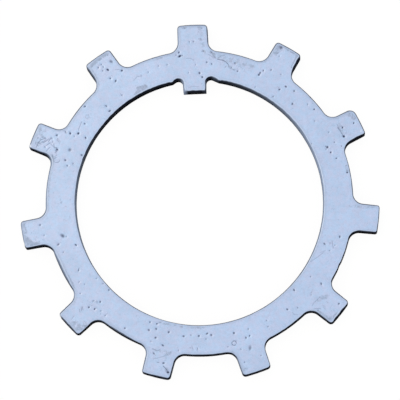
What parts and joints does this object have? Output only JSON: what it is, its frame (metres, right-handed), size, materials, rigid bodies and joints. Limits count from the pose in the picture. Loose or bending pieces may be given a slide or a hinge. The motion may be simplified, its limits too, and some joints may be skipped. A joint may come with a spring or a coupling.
{
  "type": "lock washer",
  "caption": "Flat toothed lock washer with outer tabs and an inner key, which keeps a slotted shaft nut from turning on a keyed shaft.",
  "frame": {"origin": "on the bore's axis, at the flat underside", "axes": "+Z along the shaft's axis, out of the upper face with the rolled edges; +Y from the axis through the inner key"},
  "size_m": [0.0728, 0.0721, 0.003],
  "materials": {
    "zinc_plated_steel": "blue-white bright zinc plate on stamped steel, pitted and lightly stained, with near-black sheared edges"
  },
  "bodies": {
    "root": {"lock_washer": "zinc_plated_steel"}
  },
  "joints": []
}
